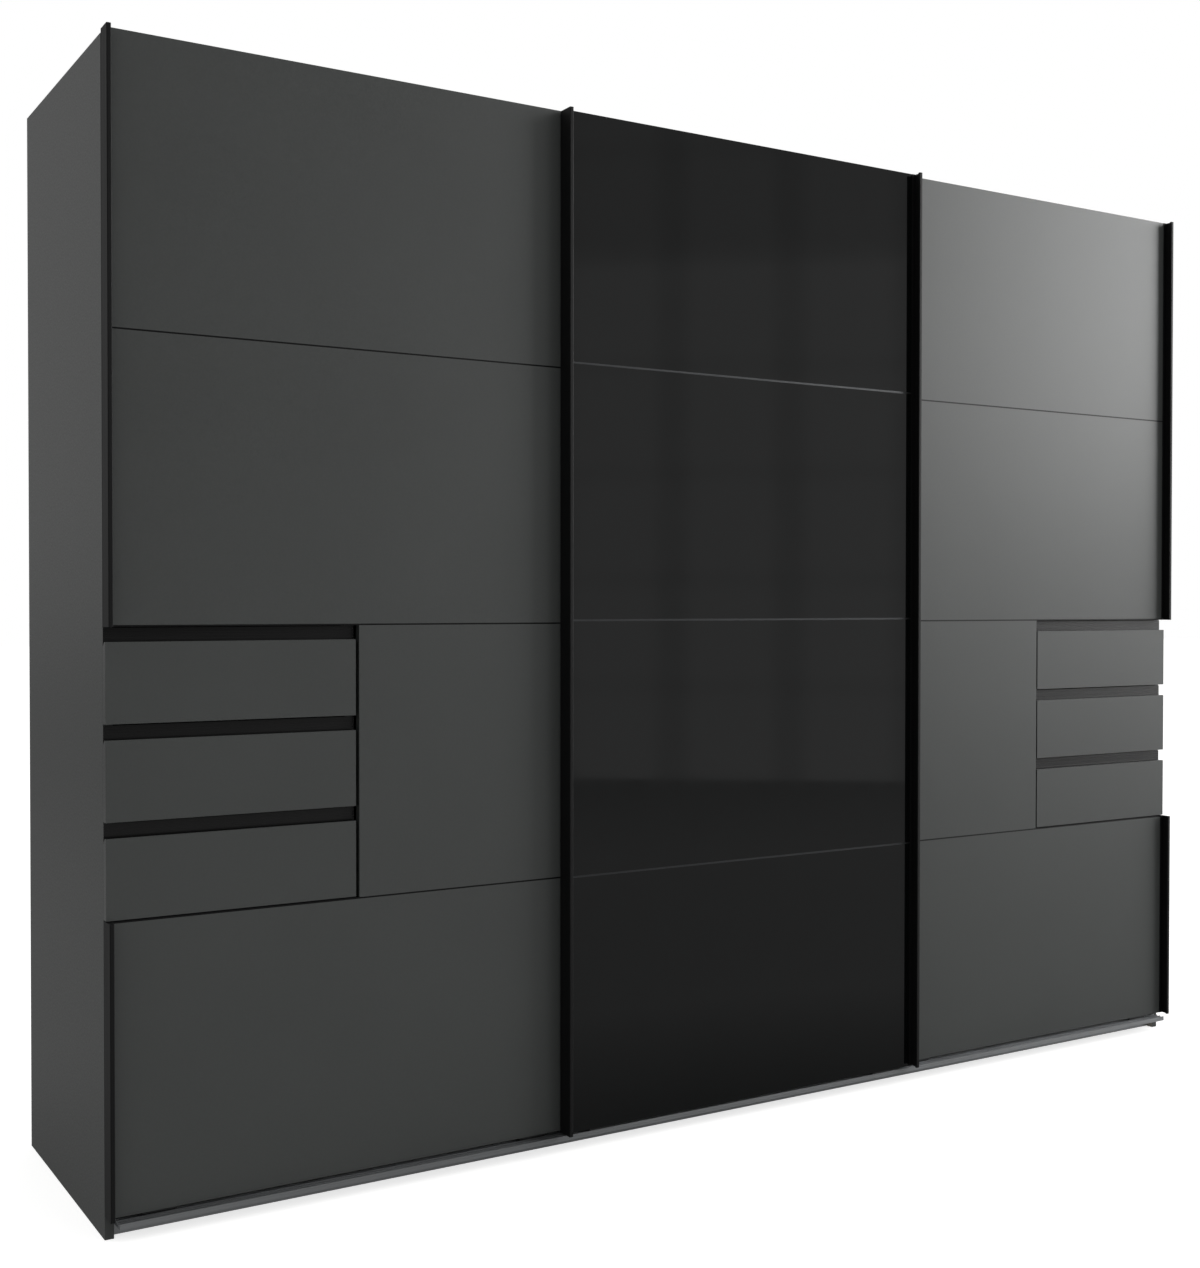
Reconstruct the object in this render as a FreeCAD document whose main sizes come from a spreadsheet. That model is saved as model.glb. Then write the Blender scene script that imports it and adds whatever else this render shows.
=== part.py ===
import FreeCAD, Part
import Sketcher
import math
import os
import re

# Sliding door wardrobe. X runs to the right, Y to the back and Z up, and the origin lies on the
# floor at the middle of the whole depth. The left half is drawn and the right half mirrors it.

doc = FreeCAD.newDocument("SlidingDoorWardrobe")
sizes = doc.addObject("Spreadsheet::Sheet", "sizes")

drivingSizes = [
    ("wardrobe_width", 2700, "over the side panels"),
    ("side_height", 2071, "side panels, floor to top"),
    ("carcass_depth", 570, "side panels, front edge to back edge"),
    ("board", 16, "thickness of every chipboard panel"),
    ("back_sheet", 3, "thickness of the hardboard back"),
    ("back_inset", 12, "back edge of a side panel to the sheet"),
    ("sheet_groove", 6, "depth of the groove that holds the sheet"),
    ("sheet_play", 0.2, "play of the sheet in its groove"),
    ("plinth_height", 60, "floor to the bottom boards"),
    ("plinth_setback", 18, "front edge of the sides to the plinth"),
    ("top_recess", 36, "top of the sides down to the top boards"),
    ("hat_space", 243, "clear height above the hat shelves"),
    ("support_leg", 16, "shelf support, down its wall"),
    ("support_foot", 20, "shelf support, under the shelf"),
    ("support_width", 14, "shelf support, along its wall"),
    ("support_sheet", 2, "thickness of both its legs"),
    ("support_inset", 37, "edge of the shelf to a support"),
    ("rod_drop", 70, "underside of the hat shelf to the rod's middle"),
    ("rod_width", 15, "oval clothes rod, across"),
    ("rod_height", 30, "oval clothes rod, upright"),
    ("rod_wall", 1.5, "wall of the clothes rod"),
    ("door_clearance", 2.5, "front edge of the sides to the outer doors"),
    ("lane_gap", 4, "outer doors to the middle door"),
    ("glass_board", 12, "board that carries the glass"),
    ("glass_sheet", 4, "thickness of the glass"),
    ("door_bottom", 42, "floor to the outer doors"),
    ("door_rise", 6, "top of the sides up to the top of the outer doors"),
    ("glass_drop", 2, "middle door lower than the outer ones"),
    ("glass_field", 512.5, "height of the lower glass fields"),
    ("middle_width", 926, "width of the middle door"),
    ("middle_offset", 7.5, "where the middle door stands, right of the centre"),
    ("door_overlap", 38, "middle door over each outer door"),
    ("drawer_opening", 465, "width of the cut-out in an outer door"),
    ("strip_height", 3, "visible line between two door fields"),
    ("glass_strip", 4, "visible line between two panes"),
    ("tongue_height", 12, "tongue of a dividing strip"),
    ("tongue_width", 3, "thickness of that tongue"),
    ("tongue_play", 0.2, "play of the tongue in its groove"),
    ("grip_projection", 22, "grip profile in front of the door face"),
    ("grip_lip", 8, "width of the grip's front lip"),
    ("grip_foot", 12, "width of the grip's foot on the door face"),
    ("grip_wall", 2.5, "wall of the grip profile"),
    ("edge_wall", 1.5, "wall of the flat edge profile"),
    ("edge_cover", 10, "edge profile's flange on the door's back"),
    ("track_start", 2, "front edge of the top board to the track"),
    ("track_depth", 58, "depth of the track's base"),
    ("track_base", 2, "thickness of the track's base"),
    ("track_wall", 1.5, "thickness of the walls of a running channel"),
    ("track_guide", 6, "height of those walls above the base"),
    ("wheel_play", 0.5, "wheel to either wall of its channel"),
    ("outer_lane", 12, "front of the carcass to the outer doors' wheels"),
    ("middle_lane", 44, "front of the carcass to the middle door's wheels"),
    ("wheel_radius", 14, "tread of a hanger wheel"),
    ("wheel_width", 8, "width of a hanger wheel"),
    ("axle_diameter", 6, "wheel axle"),
    ("head_diameter", 10, "riveted head and collar of an axle"),
    ("head_height", 1.5, "thickness of that head"),
    ("running_fit", 0.05, "radial play of a wheel on its axle"),
    ("running_gap", 0.3, "gap between parts that pass each other"),
    ("hanger_sheet", 2.5, "steel of the outer doors' hangers"),
    ("strap_sheet", 2, "steel of the middle door's hangers"),
    ("strap_gap", 1, "outer door's top to the strap above it"),
    ("hanger_width", 44, "width of a hanger"),
    ("hanger_inset", 120, "door's edge to the middle of a hanger"),
    ("rail_height", 36, "floor to the top of the guide rail"),
    ("rail_body", 10, "height of the guide rail's channels"),
    ("rail_wall", 2, "walls of the guide rail"),
    ("channel_width", 8, "clear width of a guide channel"),
    ("shoe_width", 60, "length of a guide shoe along the door"),
    ("shoe_base", 3, "plate of a guide shoe"),
    ("fin_width", 5, "fin of a guide shoe"),
    ("fin_gap", 1.5, "fin to the bottom of its channel"),
    ("grip_gap", 26, "finger gap above a drawer front"),
    ("front_reveal", 1.5, "joint below a drawer front"),
    ("front_side_gap", 6, "drawer front to the door's cut-out"),
    ("front_cover", 2, "drawer front over the upright beside it"),
    ("front_back_gap", 0.5, "drawer front to the carcass"),
    ("box_board", 12, "thickness of a drawer box's sides"),
    ("box_height", 100, "height of a drawer box's sides"),
    ("box_depth", 480, "depth of a drawer box"),
    ("box_lift", 12, "lower edge of the front to the box"),
    ("box_bottom", 3, "drawer bottom"),
    ("bottom_lift", 10, "lower edge of the box to its bottom"),
    ("bottom_groove", 5, "depth of the groove for the bottom"),
    ("runner_gap", 13, "drawer box to the carcass, for a runner"),
    ("runner_height", 36, "height of a runner's outer member"),
    ("runner_depth", 10, "depth of each runner member"),
    ("runner_sheet", 1.2, "steel of the runners"),
    ("runner_length", 450, "length of both runner members"),
    ("runner_start", 2, "carcass front to a runner"),
    ("runner_lift", 50, "lower edge of the box to the runner's middle"),
    ("finger_sheet", 1.5, "thickness of the grip strip behind a finger gap"),
    ("finger_joint", 1.5, "joint above that strip"),
    ("middle_travel", 874, "travel of the middle door to each side"),
    ("stop_length", 14, "rubber stop in the track"),
    ("stop_height", 20, "that stop, above the track's base"),
    ("shelf_setback", 20, "front of the carcass to a hat shelf"),
    ("socket_plate", 3, "back plate of a rod socket"),
    ("socket_wall", 2.5, "wall of the socket around the rod"),
    ("socket_depth", 14, "depth of a rod socket"),
    ("track_lip", 8, "upturned rear edge of the track"),
    ("rail_lift", 1, "floor to the guide rail's flange"),
    ("foot_sheet", 1.5, "thickness of the grip's foot"),
    ("hook_return", 3, "return behind the grip's lip"),
    ("hook_wall", 2, "thickness of that return"),
    ("grip_rounding", 1.4, "round on the grip's front edges"),
    ("edge_flange", 1, "thickness of the edge profile's flange"),
    ("hanger_lift", 3, "top boards to a hanger's lower edge"),
    ("hanger_drop", 3, "outer door's top to a hanger's upper edge"),
    ("hanger_slot", 5, "width of a slot in a hanger"),
    ("slot_length", 16, "depth of that slot from the hanger's lower edge"),
    ("hanger_slot_x", 14, "middle of a hanger to a slot"),
    ("hanger_corner", 4, "bevelled corners of a hanger"),
    ("strap_foot", 60, "strap behind the middle door"),
    ("strap_bend", 1.9, "outer round of a strap's bends"),
    ("shoe_depth", 14, "guide shoe, across the door"),
    ("shoe_inset", 60, "door's edge to a guide shoe"),
    ("fin_bevel", 2, "bevelled ends of a guide fin"),
    ("finger_bevel", 11, "bevel behind the upper edge of a drawer front"),
]

# The drawers of one tower, counted from the top.
drawerRows = (1, 2, 3)

# Places worked out from the sheet. Each one may use the ones above it.
places = {
    "half": "(wardrobe_width / 2)",
    "inner": "(half - board)",
    "stack": "(door_clearance + board + lane_gap + glass_board + glass_sheet + grip_projection)",
    "back": "((carcass_depth + stack) / 2)",
    "front": "(back - carcass_depth)",
    "sheet_front": "(back - back_inset - back_sheet)",
    "top_level": "(side_height - top_recess)",
    "door_top": "(side_height + door_rise)",
    "shelf_level": "(top_level - 2 * board - hat_space)",
    "bay_width": "((2 * inner - 2 * board) / 3)",
    "partition_x": "(bay_width / 2)",
    "outer_back": "(front - door_clearance)",
    "outer_face": "(outer_back - board)",
    "middle_back": "(outer_face - lane_gap)",
    "glass_back": "(middle_back - glass_board)",
    "glass_face": "(glass_back - glass_sheet)",
    "middle_half": "(middle_width / 2)",
    "outer_inner": "(middle_half - door_overlap)",
    "field": "((door_top - door_bottom) / 4)",
    "line_low": "(door_bottom + field)",
    "line_mid": "(door_bottom + 2 * field)",
    "cut_x": "(half - drawer_opening)",
    "front_end": "(cut_x + front_side_gap)",
    "upright_x": "(front_end - front_cover)",
    "opening": "(inner - upright_x - board)",
    "module": "((field - strip_height) / %d)" % len(drawerRows),
    "wheel_height": "(top_level + track_base + running_gap + wheel_radius)",
    "channel_half": "(wheel_width / 2 + wheel_play)",
    "hanger_low": "(top_level + hanger_lift)",
    "rail_base": "(rail_height - rail_body)",
    "outer_channel": "(door_clearance + board / 2)",
    "middle_channel": "(door_clearance + board + lane_gap + (glass_board + glass_sheet) / 2)",
    "middle_bottom": "(door_bottom - glass_drop)",
    "middle_top": "(door_top - glass_drop)",
    "strap_top": "(door_top + strap_gap + strap_sheet)",
    "box_width": "(opening - 2 * runner_gap)",
    "rod_y": "((front + shelf_setback + sheet_front) / 2)",
    "outer_wheel_x": "(half - hanger_inset)",
    "outer_wheel_inner": "(outer_inner + hanger_inset)",
    "middle_wheel_x": "(middle_half - hanger_inset)",
    "middle_start": "(middle_offset - middle_half)",
    "middle_end": "(middle_offset + middle_half)",
}

sizeNames = {name for name, number, note in drivingSizes}


def fillSheet():
    for row, (name, number, note) in enumerate(drivingSizes, start=1):
        sizes.set("A%d" % row, name.replace("_", " "))
        sizes.set("B%d" % row, str(number))
        sizes.setAlias("B%d" % row, name)
        sizes.set("C%d" % row, note)


def cells(text):
    # Writes a formula of sizes and places as an expression on the sheet's cells.
    def swap(match):
        word = match.group(0)
        if word in places:
            return cells(places[word])
        return "sizes." + word if word in sizeNames else word
    return re.sub(r"[a-z]\w*", swap, str(text))


def bind(item, prop, text):
    item.setExpression(prop, cells(text))


def place(item, x="0", y="0", z="0"):
    for axis, text in (("x", x), ("y", y), ("z", z)):
        bind(item, "Placement.Base." + axis, text)


def plate(label, corner, extent):
    # One board: its lowest corner and its extent along X, Y and Z.
    box = doc.addObject("Part::Box", label)
    box.Label = label
    for prop, text in zip(("Length", "Width", "Height"), extent):
        bind(box, prop, text)
    place(box, *corner)
    return box


def group(label, members):
    # Loose pieces of one kind that share a node.
    node = doc.addObject("Part::Compound", label)
    node.Label = label
    node.Links = members
    return node


def mirror(label, source, middle="0"):
    # The same piece turned over about the plane X = middle.
    node = doc.addObject("Part::Mirroring", label)
    node.Label = label
    node.Source = source
    node.Normal = (1, 0, 0)
    bind(node, "Base.x", middle)
    return node


def newBody(label):
    body = doc.addObject("PartDesign::Body", label)
    body.Label = label
    return body


def originFeature(body, role):
    return [item for item in body.Origin.OriginFeatures if item.Role == role][0]


def newSketch(body, name, plane):
    sketch = body.newObject("Sketcher::SketchObject", name)
    sketch.AttachmentSupport = [(originFeature(body, plane), "")]
    sketch.MapMode = "FlatFace"
    return sketch


def value(text):
    # The number that a formula gives at the sheet's present sizes.
    return float(sizes.evalExpression(cells(text)))


def fix(sketch, kind, edge, point, formula):
    # Holds one coordinate of a sketch point at a formula.
    held = Sketcher.Constraint(kind, -1, 1, edge, point, value(formula))
    index = sketch.addConstraint(held)
    sketch.setExpression("Constraints[%d]" % index, cells(formula))


def outline(sketch, corners):
    # A closed polygon whose corners are pairs of formulas.
    first = sketch.GeometryCount
    spots = [FreeCAD.Vector(value(a), value(b), 0) for a, b in corners]
    count = len(spots)
    for index in range(count):
        sketch.addGeometry(Part.LineSegment(spots[index], spots[(index + 1) % count]), False)
    for index in range(count):
        follower = first + (index + 1) % count
        sketch.addConstraint(Sketcher.Constraint("Coincident", first + index, 2, follower, 1))
    for index, (a, b) in enumerate(corners):
        fix(sketch, "DistanceX", first + index, 1, a)
        fix(sketch, "DistanceY", first + index, 1, b)


def halfRound(sketch, x, z, width, start):
    # Half a circle about (x, z), drawn from the angle "start".
    ring = Part.Circle(FreeCAD.Vector(value(x), value(z), 0), FreeCAD.Vector(0, 0, 1), value(width) / 2)
    return sketch.addGeometry(Part.ArcOfCircle(ring, start, start + math.pi), False)


def slot(sketch, x, low, high, width, roundTop=True):
    # An upright slot: its lower end is a half round about "low", its upper one a half round
    # about "high" or a flat end there.
    left, right = "%s - (%s) / 2" % (x, width), "%s + (%s) / 2" % (x, width)
    spots = [(right, low), (right, high), (left, high), (left, low)]
    ends = [FreeCAD.Vector(value(a), value(b), 0) for a, b in spots]
    rising = sketch.addGeometry(Part.LineSegment(ends[0], ends[1]), False)
    if roundTop:
        top = halfRound(sketch, x, high, width, 0)
    else:
        top = sketch.addGeometry(Part.LineSegment(ends[1], ends[2]), False)
    falling = sketch.addGeometry(Part.LineSegment(ends[2], ends[3]), False)
    foot = halfRound(sketch, x, low, width, math.pi)
    ring = (rising, top, falling, foot)
    for index, edge in enumerate(ring):
        sketch.addConstraint(Sketcher.Constraint("Coincident", edge, 2, ring[(index + 1) % 4], 1))
    for edge, point, (a, b) in ((rising, 1, spots[0]), (rising, 2, spots[1]),
                                (falling, 1, spots[2]), (falling, 2, spots[3])):
        fix(sketch, "DistanceX", edge, point, a)
        fix(sketch, "DistanceY", edge, point, b)
    fix(sketch, "DistanceY", foot, 3, low)
    if roundTop:
        fix(sketch, "DistanceY", top, 3, high)


def pad(body, sketch, length, backwards=False):
    feature = body.newObject("PartDesign::Pad", body.Name + "_pad")
    feature.Profile = sketch
    feature.Reversed = backwards
    bind(feature, "Length", length)
    body.Tip = feature
    return feature


def extrusion(label, plane, corners, length):
    # A straight piece with one section: X for "YZ", Y for "XZ" and Z for "XY".
    body = newBody(label)
    sketch = newSketch(body, label + "_section", plane + "_Plane")
    outline(sketch, corners)
    pad(body, sketch, length, backwards=(plane == "XZ"))
    return body


def pocket(body, sketch, length, backwards=False):
    feature = body.newObject("PartDesign::Pocket", body.Name + "_pocket")
    feature.Profile = sketch
    feature.Reversed = backwards
    bind(feature, "Length", length)
    body.Tip = feature
    return feature


def finished(body, kind, size, chosen):
    # Rounds or bevels the edges of the body's last feature that the test picks.
    doc.recompute()
    base = body.Tip
    names = ["Edge%d" % (index + 1) for index, edge in enumerate(base.Shape.Edges) if chosen(edge)]
    feature = body.newObject("PartDesign::" + kind, "%s_%s" % (body.Name, kind))
    feature.Base = (base, names)
    bind(feature, "Radius" if kind == "Fillet" else "Size", size)
    body.Tip = feature
    return feature


def runsAlong(edge, axis):
    # True for a straight edge parallel to the axis X, Y or Z.
    box = edge.BoundBox
    extent = {"X": box.XLength, "Y": box.YLength, "Z": box.ZLength}
    return all((extent[name] > 0.01) == (name == axis) for name in extent)


def turned(body, points):
    # A turned piece: pairs of place along Y and radius, revolved about Y.
    sketch = newSketch(body, body.Name + "_outline", "YZ_Plane")
    outline(sketch, points)
    feature = body.newObject("PartDesign::Revolution", body.Name + "_turning")
    feature.Profile = sketch
    feature.ReferenceAxis = (originFeature(body, "Y_Axis"), [""])
    feature.Angle = 360
    body.Tip = feature
    return feature


# ---- carcass ----

def sidePanel():
    groove = "board - sheet_groove"
    near = "sheet_front - front - sheet_play"
    far = "carcass_depth - back_inset + sheet_play"
    corners = [("0", "0"), ("board", "0"), ("board", near), (groove, near), (groove, far),
               ("board", far), ("board", "carcass_depth"), ("0", "carcass_depth")]
    panel = extrusion("side_panel_left", "XY", corners, "side_height")
    place(panel, "-half", "front")
    return panel


def partition():
    # Stands on the floor, with its lower front corner cut away for the plinth and guide rail.
    depth = "sheet_front - front"
    corners = [("plinth_setback", "0"), (depth, "0"), (depth, "top_level"), ("0", "top_level"),
               ("0", "plinth_height"), ("plinth_setback", "plinth_height")]
    panel = extrusion("partition_left", "YZ", corners, "board")
    place(panel, "-partition_x - board", "front")
    return panel


bayStarts = (("left", "-inner"), ("middle", "-partition_x"), ("right", "partition_x + board"))


def bayBoards(label, y, z, depth, height):
    # The same board in each of the three bays.
    return group(label, [plate("%s_%s" % (label, bay), (x, y, z), ("bay_width", depth, height))
                         for bay, x in bayStarts])


def backSheets():
    reach = "inner + sheet_groove - sheet_play"
    joint = "partition_x + board / 2"
    spans = (("left", "-(%s)" % reach, "%s - (%s) - sheet_play" % (reach, joint)),
             ("middle", "-(%s)" % joint, "2 * (%s)" % joint),
             ("right", "%s + sheet_play" % joint, "%s - (%s) - sheet_play" % (reach, joint)))
    return group("back_sheets", [
        plate("back_sheet_" + bay, (x, "sheet_front", "plinth_height"),
              (width, "back_sheet", "top_level - plinth_height")) for bay, x, width in spans])


def plinthBoards():
    members = []
    for row, y in (("front", "front + plinth_setback"), ("rear", "sheet_front - board")):
        for bay, x in bayStarts:
            members.append(plate("plinth_%s_%s" % (row, bay), (x, y, "0"),
                                 ("bay_width", "board", "plinth_height")))
    return group("plinth_boards", members)


def towerUpright():
    corner = ("-upright_x - board", "front", "plinth_height + board")
    return plate("tower_upright_left", corner,
                 ("board", "sheet_front - front", "line_mid - plinth_height - board"))


def towerBoards():
    depth = "sheet_front - front"
    top = plate("tower_top_left", ("-inner", "front", "line_mid"),
                ("opening + board", depth, "board"))
    floor = plate("tower_floor_left", ("-inner", "front", "line_low - board"),
                  ("opening", depth, "board"))
    return [top, floor]


def hatShelves():
    depth = "sheet_front - front - shelf_setback"
    return group("hat_shelves", [
        plate("hat_shelf_" + bay, (x + " + running_gap", "front + shelf_setback", "shelf_level"),
              ("bay_width - 2 * running_gap", depth, "board")) for bay, x in bayStarts])


# The walls of the left bay and half of the middle one, and the side that each faces.
bayWalls = (("outer", "-inner", ""), ("inner", "-(partition_x + board)", "-"),
            ("middle", "-partition_x", ""))


def shelfSupports():
    # Angles under the ends of the shelves, two at each wall.
    members = []
    for wall, x, side in bayWalls:
        thin, foot = side + "support_sheet", side + "support_foot"
        corners = [("0", "-support_leg"), (thin, "-support_leg"), (thin, "-support_sheet"),
                   (foot, "-support_sheet"), (foot, "0"), ("0", "0")]
        for row, y in (("front", "front + shelf_setback + support_inset"),
                       ("rear", "sheet_front - support_inset - support_width")):
            support = extrusion("shelf_support_%s_%s" % (wall, row), "XZ", corners, "support_width")
            place(support, x, y, "shelf_level")
            members.append(support)
    return bothSides("shelf_supports", members)


def clothesRods():
    # Oval tubes, one in each bay, between the sockets' back plates.
    members = []
    for bay, x in bayStarts:
        rod = newBody("clothes_rod_" + bay)
        sketch = newSketch(rod, rod.Name + "_section", "YZ_Plane")
        straight = "(rod_height - rod_width) / 2"
        slot(sketch, "0", "-" + straight, straight, "rod_width")
        slot(sketch, "0", "-" + straight, straight, "rod_width - 2 * rod_wall")
        pad(rod, sketch, "bay_width - 2 * socket_plate - 2 * running_gap")
        place(rod, x + " + socket_plate + running_gap", "rod_y", "shelf_level - rod_drop")
        members.append(rod)
    return group("clothes_rods", members)


def rodSockets():
    # Cradles that the rods drop into from above: a back plate and a U-shaped wall.
    members = []
    low = "-(rod_height - rod_width) / 2"
    for wall, x, side in bayWalls:
        socket = newBody("rod_socket_" + wall)
        face = newSketch(socket, socket.Name + "_face", "YZ_Plane")
        slot(face, "0", low, "rod_height / 2", "rod_width + 2 * running_gap + 2 * socket_wall", False)
        pad(socket, face, "socket_plate + socket_depth", side == "-")
        seat = newSketch(socket, socket.Name + "_seat", "YZ_Plane")
        bind(seat, "AttachmentOffset.Base.z", side + "socket_plate")
        slot(seat, "0", low, "rod_height / 2 + socket_wall", "rod_width + 2 * running_gap", False)
        pocket(socket, seat, "socket_depth", side == "")
        place(socket, x, "rod_y", "shelf_level - rod_drop")
        members.append(socket)
    return bothSides("rod_sockets", members)


# ---- running gear on the carcass ----

def topTrack():
    # A base with two running channels and an upturned rear edge.
    corners = [("0", "0"), ("track_depth", "0"), ("track_depth", "track_lip"),
               ("track_depth - track_base", "track_lip"), ("track_depth - track_base", "track_base")]
    high = "track_base + track_guide"
    for lane in ("middle_lane", "outer_lane"):
        for near, far in (("+ channel_half", "+ channel_half + track_wall"),
                          ("- channel_half - track_wall", "- channel_half")):
            inside, outside = ("%s - track_start %s" % (lane, reach) for reach in (near, far))
            corners += [(outside, "track_base"), (outside, high), (inside, high),
                        (inside, "track_base")]
    corners += [("0", "track_base")]
    track = extrusion("top_track", "YZ", corners, "2 * inner")
    place(track, "-inner", "front + track_start", "top_level")
    return track


def guideRail():
    # Two guide channels in front of the carcass, a floor between them and a flange down the plinth.
    floor = "rail_base + rail_wall"
    corners = [("-middle_channel - channel_width / 2 - rail_wall", "rail_base"),
               ("plinth_setback - rail_wall", "rail_base"), ("plinth_setback - rail_wall", "rail_lift"),
               ("plinth_setback", "rail_lift"), ("plinth_setback", floor)]
    for channel in ("outer_channel", "middle_channel"):
        for side in ("+", "-"):
            near, far = ("rail_wall", "0") if side == "+" else ("0", "rail_wall")
            a = "-%s %s channel_width / 2 %s %s" % (channel, side, side, near)
            b = "-%s %s channel_width / 2 %s %s" % (channel, side, side, far)
            last = channel == "middle_channel" and side == "-"
            corners += [(a, floor), (a, "rail_height"), (b, "rail_height")]
            corners += [] if last else [(b, floor)]
    rail = extrusion("guide_rail", "YZ", corners, "2 * inner")
    place(rail, "-inner", "front")
    return rail


def trackStop(label, lane, x):
    # A rubber block in a running channel that catches the wheel.
    spot = (x, "front + %s - wheel_width / 2" % lane, "top_level + track_base")
    return plate(label, spot, ("stop_length", "wheel_width", "stop_height"))


def trackStops():
    rest = "-(outer_wheel_x + wheel_radius + running_gap + stop_length)"
    far = "-(middle_wheel_x + middle_travel + wheel_radius + running_gap + stop_length)"
    blocks = [trackStop("stop_outer", "outer_lane", rest), trackStop("stop_middle", "middle_lane", far)]
    return group("track_stops", blocks + [mirror(block.Name + "_right", block) for block in blocks])


# ---- doors ----

def doorBoard(label, width, height, thickness, below, above):
    # A board with grooves for the tongues of the strips above and below it, where there are any;
    # "below" and "above" are the heights of those strips.
    middle = "-(%s) / 2" % thickness
    reach = "(tongue_height - %s) / 2 + tongue_play"
    near = "%s - tongue_width / 2 - tongue_play" % middle
    far = "%s + tongue_width / 2 + tongue_play" % middle
    corners = [("-(%s)" % thickness, "0")]
    if below:
        deep = reach % below
        corners += [(near, "0"), (near, deep), (far, deep), (far, "0")]
    corners += [("0", "0"), ("0", height)]
    if above:
        deep = "%s - (%s)" % (height, reach % above)
        corners += [(far, height), (far, deep), (near, deep), (near, height)]
    corners += [("-(%s)" % thickness, height)]
    return extrusion(label, "YZ", corners, width)


def dividingStrip(label, height, thickness, middle, width, below=True, above=True):
    # The visible strip through the door, with a tongue into the board below and above it.
    front = "-(%s)" % thickness
    near = "-(%s) - tongue_width / 2" % middle
    far = "-(%s) + tongue_width / 2" % middle
    half = "%s / 2" % height
    corners = [(front, "-" + half)]
    if below:
        corners += [(near, "-" + half), (near, "-tongue_height / 2"), (far, "-tongue_height / 2"),
                    (far, "-" + half)]
    corners += [("0", "-" + half), ("0", half)]
    if above:
        corners += [(far, half), (far, "tongue_height / 2"), (near, "tongue_height / 2"), (near, half)]
    corners += [(front, half)]
    return extrusion(label, "YZ", corners, width)


def gripProfile(label, thickness, length):
    # Covers the board's end and stands out in front as a hooked pull.
    tip = "-(%s) - grip_projection" % thickness
    face = "-(%s)" % thickness
    inside = tip + " + grip_wall"
    corners = [("0", "0"), ("0", tip), ("grip_lip", tip), ("grip_lip", inside + " + hook_return"),
               ("grip_lip - hook_wall", inside + " + hook_return"), ("grip_lip - hook_wall", inside),
               ("grip_wall", inside), ("grip_wall", face + " - foot_sheet"),
               ("grip_foot", face + " - foot_sheet"), ("grip_foot", face), ("grip_wall", face),
               ("grip_wall", "0")]
    body = extrusion(label, "XY", corners, length)
    front = value(tip)
    finished(body, "Fillet", "grip_rounding",
             lambda edge: runsAlong(edge, "Z") and abs(edge.BoundBox.YMin - front) < 0.01)
    return body


def hangerPlate(label):
    # The flat plate behind an outer door, drawn about its axle. Two slots, open below, let it
    # drop over its screws and be set in height.
    hanger = newBody(label)
    face = newSketch(hanger, label + "_face", "XZ_Plane")
    low, high = "hanger_low - wheel_height", "door_top - hanger_drop - wheel_height"
    edge, bevel = "hanger_width / 2", "hanger_width / 2 - hanger_corner"
    outline(face, [("-" + edge, low), (edge, low), (edge, high + " - hanger_corner"), (bevel, high),
                   ("-(%s)" % bevel, high), ("-" + edge, high + " - hanger_corner")])
    pad(hanger, face, "hanger_sheet", backwards=True)
    slots = newSketch(hanger, label + "_slots", "XZ_Plane")
    for side in ("-", ""):
        slot(slots, side + "hanger_slot_x", low + " - hanger_slot",
             low + " + slot_length - hanger_slot / 2", "hanger_slot")
    pocket(hanger, slots, "hanger_sheet")
    return hanger


def hangerStrap(label):
    # Cranked steel over the outer doors: foot behind the middle door, drop leg between the lanes.
    foot = "middle_back - front"
    drop = "(outer_lane + middle_lane) / 2"
    low = "hanger_low - strap_top"
    corners = [(foot, "-strap_foot"), (foot, "0"), (drop + " + strap_sheet", "0"),
               (drop + " + strap_sheet", low), (drop, low), (drop, "-strap_sheet"),
               (foot + " + strap_sheet", "-strap_sheet"), (foot + " + strap_sheet", "-strap_foot")]
    strap = extrusion(label, "YZ", corners, "hanger_width")
    finished(strap, "Fillet", "strap_bend",
             lambda edge: runsAlong(edge, "X") and abs(edge.BoundBox.ZMax) < 0.01)
    return strap


# Where the axles start, measured from the front of the carcass: the faces of plate and strap.
plateFace = "(hanger_sheet - door_clearance)"
strapFace = "((outer_lane + middle_lane) / 2 + strap_sheet)"


def axlePin(label, start, lane):
    # Collar, axle and riveted head, turned in one piece; "start" and "lane" are measured from the
    # front of the carcass.
    pin = newBody(label)
    near = "%s - (%s) - wheel_width / 2 - running_gap" % (lane, start)
    far = "%s - (%s) + wheel_width / 2 + running_gap" % (lane, start)
    turned(pin, [("0", "0"), (far + " + head_height", "0"), (far + " + head_height", "head_diameter / 2"),
                 (far, "head_diameter / 2"), (far, "axle_diameter / 2"), (near, "axle_diameter / 2"),
                 (near, "head_diameter / 2"), ("0", "head_diameter / 2")])
    return pin


def hangerWheel(label):
    # A disc that turns on its axle between collar and head.
    wheel = newBody(label)
    bore, edge = "axle_diameter / 2 + running_fit", "wheel_width / 2"
    turned(wheel, [("-" + edge, bore), ("-" + edge, "wheel_radius"), (edge, "wheel_radius"), (edge, bore)])
    return wheel


def guideShoe(label, bottom):
    # A plastic plate under the door with a fin down into the guide channel.
    drop = "%s - (rail_base + rail_wall + fin_gap)" % bottom
    corners = [("-shoe_depth / 2", "-shoe_base"), ("-fin_width / 2", "-shoe_base"),
               ("-fin_width / 2", "-(%s)" % drop), ("fin_width / 2", "-(%s)" % drop),
               ("fin_width / 2", "-shoe_base"), ("shoe_depth / 2", "-shoe_base"),
               ("shoe_depth / 2", "0"), ("-shoe_depth / 2", "0")]
    shoe = extrusion(label, "YZ", corners, "shoe_width")
    low = -value(drop)
    finished(shoe, "Chamfer", "fin_bevel",
             lambda edge: runsAlong(edge, "Z") and abs(edge.BoundBox.ZMin - low) < 0.01)
    return shoe


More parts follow.
